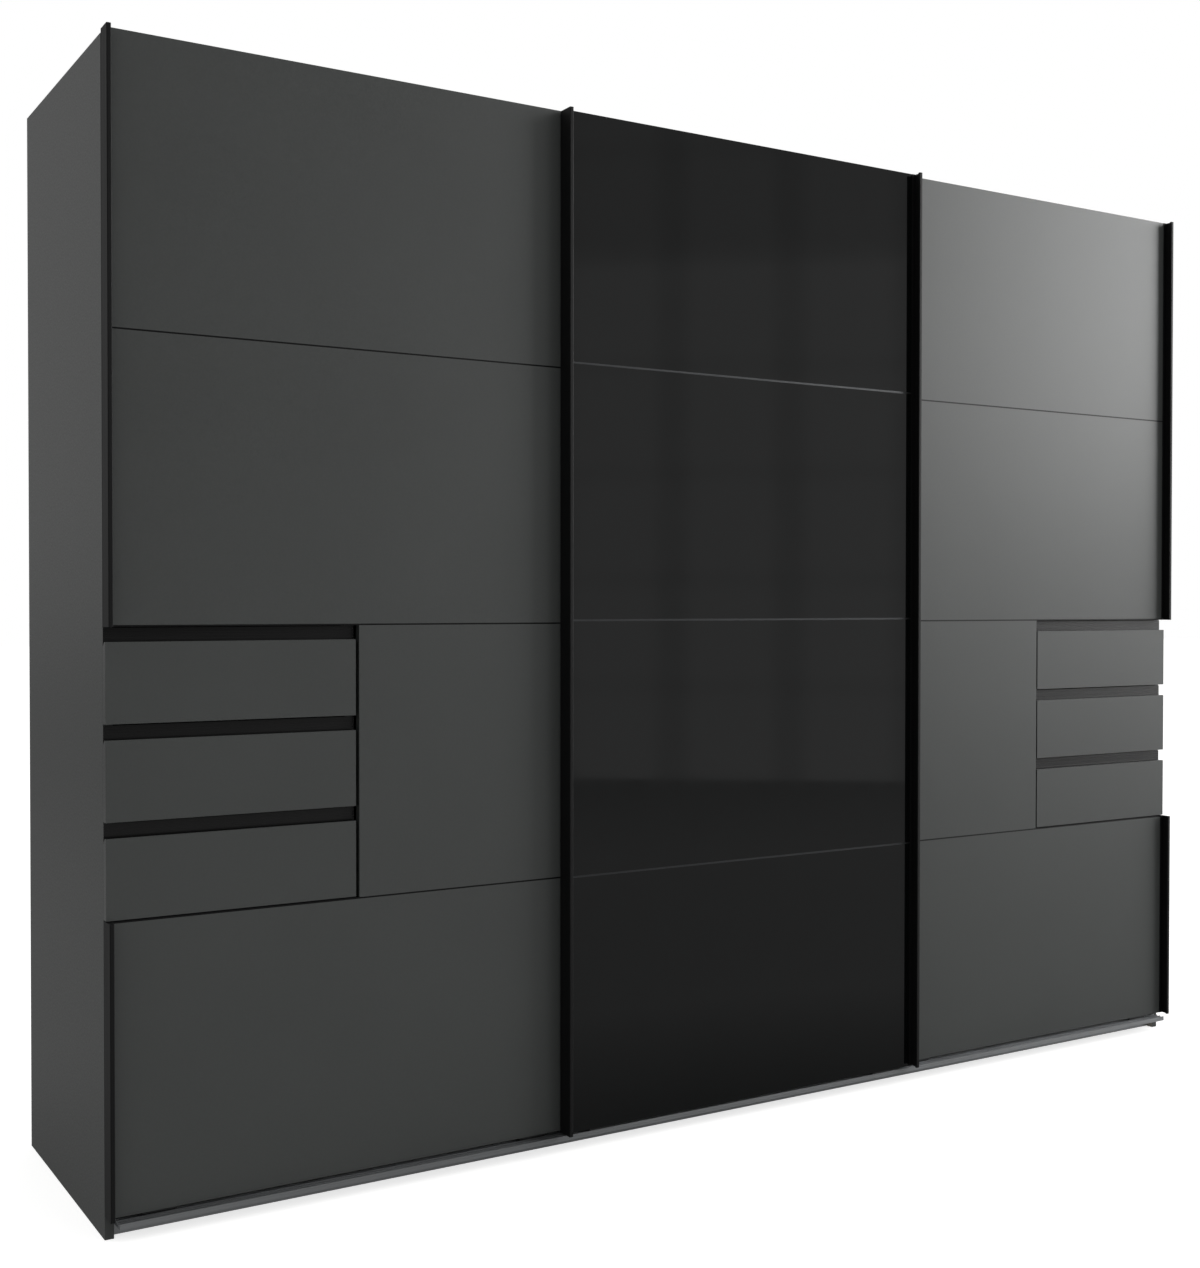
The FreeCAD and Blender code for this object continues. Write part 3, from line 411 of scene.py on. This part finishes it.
def drawerFrontFinish(name, node):
    # A drawer front is melamine board in front of the bevel behind its upper edge; the bent strip
    # of black anodised sheet lies on that bevel and rises behind the finger gap, satin and hard.
    # The strip is where y + z is past the line of the bevel.
    material, tree = newMaterial(name)
    colour, tones, boardRough, pearl = graphiteLook(tree, "Y")
    place = addNode(tree, "SeparateXYZ", (objectPoints(tree),))
    line = high[node][1] + high[node][2] - millimetre * (
        gripStrip["rise"] + gripStrip["bevel"] - gripStrip["sheet"])
    depthAndHeight = addNode(tree, "Math", (place.outputs["Y"], place.outputs["Z"]),
                             operation="ADD")
    strip = addNode(tree, "Math", (depthAndHeight, line), operation="GREATER_THAN")
    colour = addNode(tree, "Mix", {0: strip, 6: colour, 7: linearColour(gripStrip["colour"])},
                     data_type="RGBA")
    lines = noiseField(tree, extrusion["dieLine"], stretch=(extrusion["draw"], 1.0, 1.0))
    sheetRough = addNode(tree, "MapRange", (
        lines, *noiseSpan, gripStrip["roughness"] - extrusion["glint"],
        gripStrip["roughness"] + extrusion["glint"]))
    rough = addNode(tree, "Mix", {0: strip, 2: boardRough, 3: sheetRough})
    return finished(material, shade(tree, colour, *tones), rough, graphite["fixed"],
                    (pearl, *graphite["relief"]))


rubber = {
    "dark": "#141414", "bloomed": "#2a2a29", "bloom": 6.0, "bloomDetail": 4.0,
    "bloomAmount": (0.0, 0.5), "roughness": (0.68, 0.85),
    "relief": (0.05, 0.4),
    "fixed": {"IOR": 1.5},
}


def rubberFinish(name):
    # Moulded rubber: matt, with a greyish bloom.
    material, tree = newMaterial(name)
    bloom = noiseField(tree, rubber["bloom"], rubber["bloomDetail"])
    colour = addNode(tree, "Mix", {
        0: addNode(tree, "MapRange", (bloom, *noiseSpan, *rubber["bloomAmount"])),
        6: linearColour(rubber["dark"]), 7: linearColour(rubber["bloomed"])}, data_type="RGBA")
    rough = addNode(tree, "MapRange", (bloom, *noiseSpan, *rubber["roughness"]))
    return finished(material, colour, rough, rubber["fixed"], (bloom, *rubber["relief"]))


def dress(material, *names):
    # Gives CAD nodes their finish through their material slots.
    for name in names:
        holder = nodes[name]
        if not holder.material_slots:
            holder.data.materials.append(material)
        for slot in holder.material_slots:
            slot.material = material


def onBothSides(*patterns):
    return [pattern % side for pattern in patterns for side in sides]


def dressBoards():
    dress(melamineFinish("melamine board, graphite, faces to the front", "Y"),
          *onBothSides("%s_door_boards"), "middle_door_boards", "plinth_boards")
    for row in drawerRows:
        left, right = onBothSides("%%s_drawer_%d_front" % row)
        dress(drawerFrontFinish("melamine board with an anodised grip strip, row %d" % row, left),
              left, right)
    dress(linenFinish("melamine board, graphite outside, linen inside, left", "X", -1),
          "side_panel_left")
    dress(linenFinish("melamine board, graphite outside, linen inside, right", "X", 1),
          "side_panel_right")
    dress(linenFinish("melamine board, linen, upright", "X"),
          *onBothSides("partition_%s", "tower_upright_%s"))
    dress(linenFinish("melamine board, linen, lying", "Z"),
          "top_boards", "bottom_boards", "tower_boards", "hat_shelves")
    dress(hardboardFinish("hardboard, printed inside and raw behind"), "back_sheets")
    dress(foilFinish("particle board, wrapped in grey foil"),
          *onBothSides(*["%%s_drawer_%d_box" % row for row in drawerRows]))


def dressFronts():
    dress(blackGlassFinish("float glass, back enamelled black"), "middle_door_glass")
    dress(extrudedFinish("extruded aluminium, anodised black, upright", "pulls"),
          *onBothSides("%s_door_profiles"), "middle_door_profiles")
    dress(extrudedFinish("extruded aluminium, anodised black, lying", "blackStrips"),
          *onBothSides("%s_door_strips"))
    dress(extrudedFinish("extruded aluminium, anodised silver", "silverStrips"),
          "middle_door_strips")


def dressFittings():
    dress(extrudedFinish("extruded aluminium, anodised silver, rail", "guideRail"), "guide_rail")
    dress(extrudedFinish("extruded aluminium, bare", "topTrack"), "top_track")
    dress(zincFinish("sheet steel, zinc plated", zinc["sheet"]),
          *["%s_door_hangers" % door for door in doors], "runner_rails", "shelf_supports",
          *onBothSides(*["%%s_drawer_%d_slides" % row for row in drawerRows]))
    dress(polishedFinish("steel tube, chromed", "tube"), "clothes_rods")
    dress(mouldedFinish("nylon, natural", "nylon"),
          *["%s_door_wheel_%d" % (door, number) for door in doors for number in wheelNumbers])
    dress(mouldedFinish("ABS, black, moulded", "ABS"),
          *["%s_door_guides" % door for door in doors], "rod_sockets")
    dress(rubberFinish("moulded rubber"), "track_stops")


dressBoards()
dressFronts()
dressFittings()
print("nodes dressed")

screwSteel = polishedFinish("steel, zinc plated, screw heads", "screw")
castZinc = zincFinish("zinc alloy, die cast", zinc["cast"])
pinSteel = polishedFinish("steel, bright drawn, pins", "pin")


def turned(name, body, material, profile, places, axis, corners=16):
    # Turned heads, one at each place. A profile row is (radius, height, lobe) in mm, from the pole
    # on top to the pole below: p = place + h * axis + r * (1 + lobe * cos 4u) * (cos u, sin u).
    profile = np.array(profile, float) * (millimetre, millimetre, 1.0)
    axis = np.array(axis, float)
    first = np.cross(axis, (0.36, 0.48, 0.8))       # any way that no axis here lies along
    first /= np.linalg.norm(first)
    second = np.cross(axis, first)
    turn = np.arange(corners) * 2 * np.pi / corners
    circle = np.cos(turn)[:, None] * first + np.sin(turn)[:, None] * second
    radius = profile[1:-1, :1] * (1.0 + profile[1:-1, 2:] * np.cos(4 * turn))
    rings = radius[..., None] * circle + profile[1:-1, 1][:, None, None] * axis
    poles = profile[[0, -1], 1:2] * axis
    head = np.concatenate([rings.reshape(-1, 3), poles])
    vertices = (np.array(places, float)[:, None, :] + head).reshape(-1, 3)

    ringCount = len(profile) - 2
    here = np.arange(corners)
    beside = (here + 1) % corners
    level = np.arange(ringCount - 1)[:, None] * corners
    below = level + corners
    walls = np.stack([level + here, below + here, below + beside, level + beside], -1)
    topPole = ringCount * corners
    lastRing = topPole - corners
    top = np.stack([np.full(corners, topPole), here, beside], -1)
    bottom = np.stack([lastRing + beside, lastRing + here, np.full(corners, topPole + 1)], -1)
    offsets = np.arange(len(places))[:, None, None] * len(head)
    faces = [face for part in (walls.reshape(-1, 4), top, bottom)
             for face in (part[None] + offsets).reshape(-1, part.shape[-1]).tolist()]

    mesh = bpy.data.meshes.new(name)
    mesh.from_pydata(vertices.tolist(), [], faces)
    mesh.materials.append(material)
    piece = bpy.data.objects.new(name, mesh)
    bpy.context.scene.collection.objects.link(piece)
    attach(piece, body)


def crossHead(width, height, recess):
    # A domed head with a cross recess, resting on its surface. Its dome falls in three steps
    # from the recess to the rim, and the lobes of the two rings on top draw the cross.
    r, h, lobe = width / 2, height, 0.45
    return [(0, h - recess, 0), (0.30 * r, h - recess, lobe), (0.40 * r, h, lobe),
            (0.70 * r, 0.92 * h, 0), (0.92 * r, 0.55 * h, 0), (r, 0.12 * h, 0), (r, 0, 0),
            (0, 0, 0)]


def pinHead(width, height):
    # A flat head with a bevelled rim.
    r, h = width / 2, height
    return [(0, h, 0), (0.8 * r, h, 0), (r, 0.5 * h, 0), (r, 0, 0), (0, 0, 0)]


def evenly(start, end, pitch):
    # Evenly spaced places from start to end, about the pitch apart.
    return np.linspace(start, end, int(round((end - start) / pitch)) + 1)


def metres(sizes, *names):
    return [sizes[name] * millimetre for name in names]


def bayWalls():
    # The walls of the three bays from left to right, each with the way into its bay.
    walls = (high["side_panel_left"], low["partition_left"], high["partition_left"],
             low["partition_right"], high["partition_right"], low["side_panel_right"])
    return [(wall[0], 1 if number % 2 == 0 else -1) for number, wall in enumerate(walls)]


trackScrews = {"head": (7.0, 0.4, 0.35), "pitch": 308, "fromEnd": 100, "fromFront": 26, "base": 2}


def addTrackScrews():
    # Nearly flush in the track's base, beside its channels.
    fromEnd, fromFront, base, pitch = metres(trackScrews, "fromEnd", "fromFront", "base", "pitch")
    near, far = low["top_track"], high["top_track"]
    places = [(x, near[1] + fromFront, near[2] + base)
              for x in evenly(near[0] + fromEnd, far[0] - fromEnd, pitch)]
    turned("track_screws", "carcass", screwSteel, crossHead(*trackScrews["head"]),
           places, (0, 0, 1))


railScrews = {"head": (8.0, 2.0, 1.2), "pitch": 400, "fromEnd": 80, "flange": 2, "up": 11}


def addRailScrews():
    # Through the guide rail's flange into the plinth.
    fromEnd, flange, up, pitch = metres(railScrews, "fromEnd", "flange", "up", "pitch")
    near, far = low["guide_rail"], high["guide_rail"]
    places = [(x, far[1] - flange, near[2] + up)
              for x in evenly(near[0] + fromEnd, far[0] - fromEnd, pitch)]
    turned("rail_screws", "carcass", screwSteel, crossHead(*railScrews["head"]),
           places, (0, -1, 0))


backPins = {"head": (4.0, 0.6), "pitch": 98, "fromWall": 30, "fromUpright": 20, "halfBoard": 8}


def addBackPins():
    # Through the back sheets into the rear edges of the boards that lie behind them.
    fromWall, fromUpright, halfBoard, pitch = metres(
        backPins, "fromWall", "fromUpright", "halfBoard", "pitch")
    back = high["back_sheets"][1]
    left, right = high["side_panel_left"][0], low["side_panel_right"][0]
    places = [(x, back, (low[name][2] + high[name][2]) / 2)
              for name in ("top_boards", "hat_shelves", "bottom_boards")
              for x in evenly(left + fromWall, right - fromWall, pitch)]
    heights = low["tower_boards"][2] + halfBoard, high["tower_boards"][2] - halfBoard
    places += [(hand * x, back, z) for hand in (-1, 1) for z in heights
               for x in evenly(high["tower_upright_right"][0] + fromUpright, right - fromWall,
                               pitch)]
    turned("back_pins", "carcass", pinSteel, pinHead(*backPins["head"]), places,
           (0, 1, 0), 10)


camFittings = {"head": (15.0, 0.5, 0.45), "fromEnd": 24, "behindTrack": 45, "fromBack": 60}


def addCamFittings():
    # In the top boards, two at each end of a board.
    fromEnd, behindTrack, fromBack = metres(camFittings, "fromEnd", "behindTrack", "fromBack")
    top = high["top_boards"]
    places = [(x + way * fromEnd, y, top[2]) for x, way in bayWalls()
              for y in (high["top_track"][1] + behindTrack, top[1] - fromBack)]
    turned("cam_fittings", "carcass", castZinc, crossHead(*camFittings["head"]),
           places, (0, 0, 1))


shelfScrews = {"head": (6.0, 1.6, 1.0), "sheet": 2, "fromEnd": 7, "fromWall": 12, "down": 9.5}


def addShelfScrews():
    # At each shelf support, a screw up into the shelf and one into the wall.
    sheet, fromEnd, fromWall, down = metres(shelfScrews, "sheet", "fromEnd", "fromWall", "down")
    shelf = low["hat_shelves"][2]
    depths = low["shelf_supports"][1] + fromEnd, high["shelf_supports"][1] - fromEnd
    shape = crossHead(*shelfScrews["head"])
    places = [(x + way * fromWall, y, shelf - sheet) for x, way in bayWalls() for y in depths]
    turned("shelf_screws", "carcass", screwSteel, shape, places, (0, 0, -1))
    for wanted, side in ((1, "left"), (-1, "right")):
        places = [(x + way * sheet, y, shelf - down) for x, way in bayWalls() if way == wanted
                  for y in depths]
        turned("support_screws_" + side, "carcass", screwSteel, shape, places,
               (wanted, 0, 0))


hangerScrews = {
    # places beside and above the wheel's axle, and the thickness of the plate
    "outer": {"head": (9.0, 1.6, 1.0), "beside": (-14, 14), "above": (-1.5,), "plate": 2.5},
    "middle": {"head": (7.0, 0.5, 0.4), "beside": (-12, 12), "above": (-20, 8), "plate": 2},
}


def addHangerScrews():
    # Height screws in the slots of the outer doors' hangers, and flat ones in the cranked straps.
    for door in doors:
        screws = hangerScrews["middle" if door == "middle" else "outer"]
        face = high[door + "_door_boards"][1] + screws["plate"] * millimetre
        wheels = ["%s_door_wheel_%d" % (door, number) for number in wheelNumbers]
        axles = [(low[wheel] + high[wheel]) / 2 for wheel in wheels]
        places = [(axle[0] + x * millimetre, face, axle[2] + z * millimetre)
                  for axle in axles for x in screws["beside"] for z in screws["above"]]
        turned(door + "_door_hanger_screws", door + "_door", screwSteel,
               crossHead(*screws["head"]), places, (0, 1, 0))


drawerScrews = {"head": (8.0, 2.0, 1.2), "fromSide": 50, "wall": 12, "lower": 32, "upper": 78}


def addDrawerScrews():
    # From inside each drawer box into its front.
    fromSide, wall, lower, upper = metres(drawerScrews, "fromSide", "wall", "lower", "upper")
    for side in sides:
        for row in drawerRows:
            drawer = "%s_drawer_%d" % (side, row)
            near, far = low[drawer + "_box"], high[drawer + "_box"]
            places = [(x, near[1] + wall, near[2] + up)
                      for x in (near[0] + fromSide, far[0] - fromSide) for up in (lower, upper)]
            turned(drawer + "_screws", drawer, screwSteel,
                   crossHead(*drawerScrews["head"]), places, (0, 1, 0))


addTrackScrews()
addRailScrews()
addBackPins()
addCamFittings()
addShelfScrews()
addHangerScrews()
addDrawerScrews()
print("fasteners added")


def lightPath(tree):
    # For a camera ray, a gloss ray and a ray through a clear material, 1 where the ray is one.
    path = addNode(tree, "LightPath")
    return [path.outputs["Is %s Ray" % kind] for kind in ("Camera", "Glossy", "Transmission")]


def alongStops(tree, field, span, stops):
    # Carries a field along a row of stops, each a place within the span and a strength up to 1.
    # The last node turns the grey of the row back into a number.
    start, end = span
    row = addNode(tree, "ValToRGB", (addNode(tree, "MapRange", (field, start, end, *unitSpan)),))
    elements = row.color_ramp.elements
    first, *between, last = [(place - start) / (end - start) for place in sorted(stops)]
    elements[0].position = first
    elements[-1].position = last
    for position in between:
        elements.new(position)
    for element, place in zip(elements, sorted(stops)):
        element.color = (stops[place], stops[place], stops[place], 1.0)
    return addNode(tree, "Math", (row.outputs["Color"], 1.0), operation="MULTIPLY")


floor = {
    "colour": "#bfbfbe", "reach": 40.0,             # half of its side in metres
    "glow": 0.72,                                   # what the camera's own view of it gains
    # painted shade that gloss sees of it, darker close to the object, by distance in metres,
    # counted shorter along the front
    "mirrored": {0.3: 0.12, 1.2: 0.29, 3.5: 0.31, 8.0: 0.20},
    "mirroredSpan": (0.0, 10.0), "alongFront": 0.55,
}


def makeFloor():
    # A pale floor; the camera sees it near white, and the object's shadow stays on it. Gloss sees
    # a painted shade on it: an emission that is darker close to the object, as a studio floor in
    # its shade.
    reach = floor["reach"]
    mesh = bpy.data.meshes.new("floor")
    mesh.from_pydata([(-reach, -reach, 0.0), (reach, -reach, 0.0), (reach, reach, 0.0),
                      (-reach, reach, 0.0)], [], [(0, 1, 2, 3)])
    ground = bpy.data.objects.new("floor", mesh)
    bpy.context.scene.collection.objects.link(ground)
    material = bpy.data.materials.new("painted studio floor")
    tree = emptyTree(material)
    camera, gloss, through = lightPath(tree)
    paint = addNode(tree, "BsdfDiffuse", {"Color": linearColour(floor["colour"])})
    watched = addNode(tree, "Math", (camera, through), operation="MAXIMUM")
    gained = addNode(tree, "Math", (watched, floor["glow"]), operation="MULTIPLY")
    glow = addNode(tree, "Emission", {"Color": white, "Strength": gained})
    lit = addNode(tree, "AddShader", (paint, glow))
    # Painted shade for gloss: this emission falls with the distance from the object, not with any
    # shadow.
    points = objectPoints(tree, (floor["alongFront"], 1.0, 1.0))
    distance = addNode(tree, "VectorMath", (points,), operation="LENGTH").outputs["Value"]
    strength = alongStops(tree, distance, floor["mirroredSpan"], floor["mirrored"])
    mirrored = addNode(tree, "Emission", {"Color": white, "Strength": strength})
    addNode(tree, "OutputMaterial", {
        "Surface": addNode(tree, "MixShader", (gloss, lit, mirrored))})
    mesh.materials.append(material)


# A wall of window panes that only gloss sees. Sizes in metres, strengths and shades up to 1.
windowWall = {
    "place": (3.873, -5.651, 0.0), "heading": 36.2, "width": 3.8, "height": 5.0,
    "pane": 0.73, "barWidth": 0.19, "barBlur": (0.05, 0.05), "barShade": 0.15,
    "row": 0.67, "rowWidth": 0.08, "rowBlur": (0.03, 0.05), "rowShade": 0.06, "lowestRow": 0.58,
    "glow": 0.47, "top": 3.27, "topBlur": 0.08, "above": 0.36,
}


def makeWindowWall():
    # Stands in front and shows softly in the glass: pale panes, darker bars, dim above.
    wide, tall = windowWall["width"] / 2, windowWall["height"]
    mesh = bpy.data.meshes.new("window wall")
    mesh.from_pydata([(-wide, 0, 0), (wide, 0, 0), (wide, 0, tall), (-wide, 0, tall)], [],
                     [(0, 1, 2, 3)])
    wall = bpy.data.objects.new("window wall", mesh)
    bpy.context.scene.collection.objects.link(wall)
    wall.location = windowWall["place"]
    wall.rotation_euler = (0.0, 0.0, math.radians(windowWall["heading"]))
    for sight in ("camera", "diffuse", "transmission", "volume_scatter", "shadow"):
        setattr(wall, "visible_" + sight, False)
    material = bpy.data.materials.new("daylight through panes")
    tree = emptyTree(material)
    spot = addNode(tree, "SeparateXYZ", (objectPoints(tree),))
    fromRow = addNode(tree, "Math", (spot.outputs["Z"], windowWall["lowestRow"]),
                      operation="SUBTRACT")
    fromBar = addNode(tree, "Math", (spot.outputs["X"], windowWall["pane"] / 2),
                      operation="ADD")
    shades = []
    for kind, offset, pitch in (("bar", fromBar, windowWall["pane"]),
                                ("row", fromRow, windowWall["row"])):
        away = addNode(tree, "Math", (offset, pitch / 2), operation="PINGPONG")
        half = windowWall[kind + "Width"] / 2
        inner, outer = windowWall[kind + "Blur"]
        shades.append(addNode(tree, "MapRange", (
            away, half - inner, half + outer, 1.0 - windowWall[kind + "Shade"], 1.0)))
    top, blur = windowWall["top"], windowWall["topBlur"]
    level = addNode(tree, "MapRange", (spot.outputs["Z"], top - blur, top + blur,
                                       windowWall["glow"], windowWall["above"]))
    crossing = addNode(tree, "Math", shades, operation="MULTIPLY")
    strength = addNode(tree, "Math", (level, crossing), operation="MULTIPLY")
    glow = addNode(tree, "Emission", {"Color": white, "Strength": strength})
    addNode(tree, "OutputMaterial", {"Surface": glow})
    mesh.materials.append(material)


backdrop = {
    "glow": 0.9,                # what lights the object from all round
    "behind": 0.42,             # what gloss and metal see of it behind the object
    "behindSpan": (-0.2, 0.3),  # where that takes over, by the sine of the heading to the back
    # what they see of it in front, by its heading in degrees to the right
    "front": {-70: 0.35, -20: 0.22, 6: 0.03, 18: 0.04, 28: 0.42, 36: 0.5, 44: 0.6, 52: 1.0,
              66: 1.0},
    "frontSpan": (-90.0, 90.0),
}


def makeBackdrop():
    # White to the camera; what gloss sees of it is greyer, and greyer still behind the object.
    world = bpy.data.worlds.new("studio")
    bpy.context.scene.world = world
    tree = emptyTree(world)
    camera, gloss, through = lightPath(tree)
    way = addNode(tree, "SeparateXYZ", (addNode(tree, "TexCoord").outputs["Generated"],))
    forward = addNode(tree, "Math", (way.outputs["Y"], -1.0), operation="MULTIPLY")
    turn = addNode(tree, "Math", (way.outputs["X"], forward), operation="ARCTAN2")
    heading = addNode(tree, "Math", (turn,), operation="DEGREES")
    front = alongStops(tree, heading, backdrop["frontSpan"], backdrop["front"])
    behind = addNode(tree, "MapRange", (way.outputs["Y"], *backdrop["behindSpan"], *unitSpan))
    mirrored = addNode(tree, "Mix", {0: behind, 2: front, 3: backdrop["behind"]})
    lit = addNode(tree, "Mix", {0: gloss, 2: backdrop["glow"], 3: mirrored})
    watched = addNode(tree, "Math", (camera, through), operation="MAXIMUM")
    strength = addNode(tree, "Math", (lit, watched), operation="MAXIMUM")
    background = addNode(tree, "Background", {"Color": white, "Strength": strength})
    addNode(tree, "OutputWorld", {"Surface": background})


softboxes = {
    # place, target, width and height in metres, watts
    "key at the right": ((6.3, -3.7, 3.7), (0.8, -0.3, 1.4), 2.8, 3.6, 240.0),
    "low key": ((5.5, -3.2, 1.6), (1.0, -0.3, 1.2), 2.0, 3.0, 17.0),
    "side light": ((9.0, -1.9, 2.2), (0.0, -0.3, 1.2), 3.0, 4.0, 197.0),
}


def makeLights():
    for name, (place, target, width, height, watts) in softboxes.items():
        lamp = bpy.data.lights.new(name, "AREA")
        lamp.shape = "RECTANGLE"
        lamp.size = width
        lamp.size_y = height
        lamp.energy = watts
        holder = bpy.data.objects.new(name, lamp)
        holder.location = place
        aim = Vector(target) - Vector(place)
        holder.rotation_euler = aim.to_track_quat("-Z", "Y").to_euler()
        holder.visible_camera = False
        bpy.context.scene.collection.objects.link(holder)


lens = {
    "place": (-2.0626, -3.0450, 1.0974),
    "heading": -31.51,          # degrees about Z, clockwise from +Y
    "pitch": -0.84,
    "roll": -0.04,
    "length": 45.58,
    "sensor": 36.0,             # mm along the long side
    "shift": (0.0009, -0.0050),
}


def makeCamera():
    camera = bpy.data.cameras.new("camera")
    camera.sensor_width = lens["sensor"]
    camera.sensor_fit = "AUTO"
    camera.lens = lens["length"]
    camera.shift_x, camera.shift_y = lens["shift"]
    holder = bpy.data.objects.new("camera", camera)
    holder.location = lens["place"]
    level = 90.0                # a camera looks down until it is tilted up to the horizon
    angles = [math.radians(angle)
              for angle in (level + lens["pitch"], lens["roll"], lens["heading"])]
    holder.rotation_euler = Euler(angles, "XYZ")
    bpy.context.scene.collection.objects.link(holder)
    bpy.context.scene.camera = holder


makeFloor()
makeWindowWall()
makeBackdrop()
makeLights()
makeCamera()
bpy.context.scene.view_settings.view_transform = "Standard"
print("studio ready")
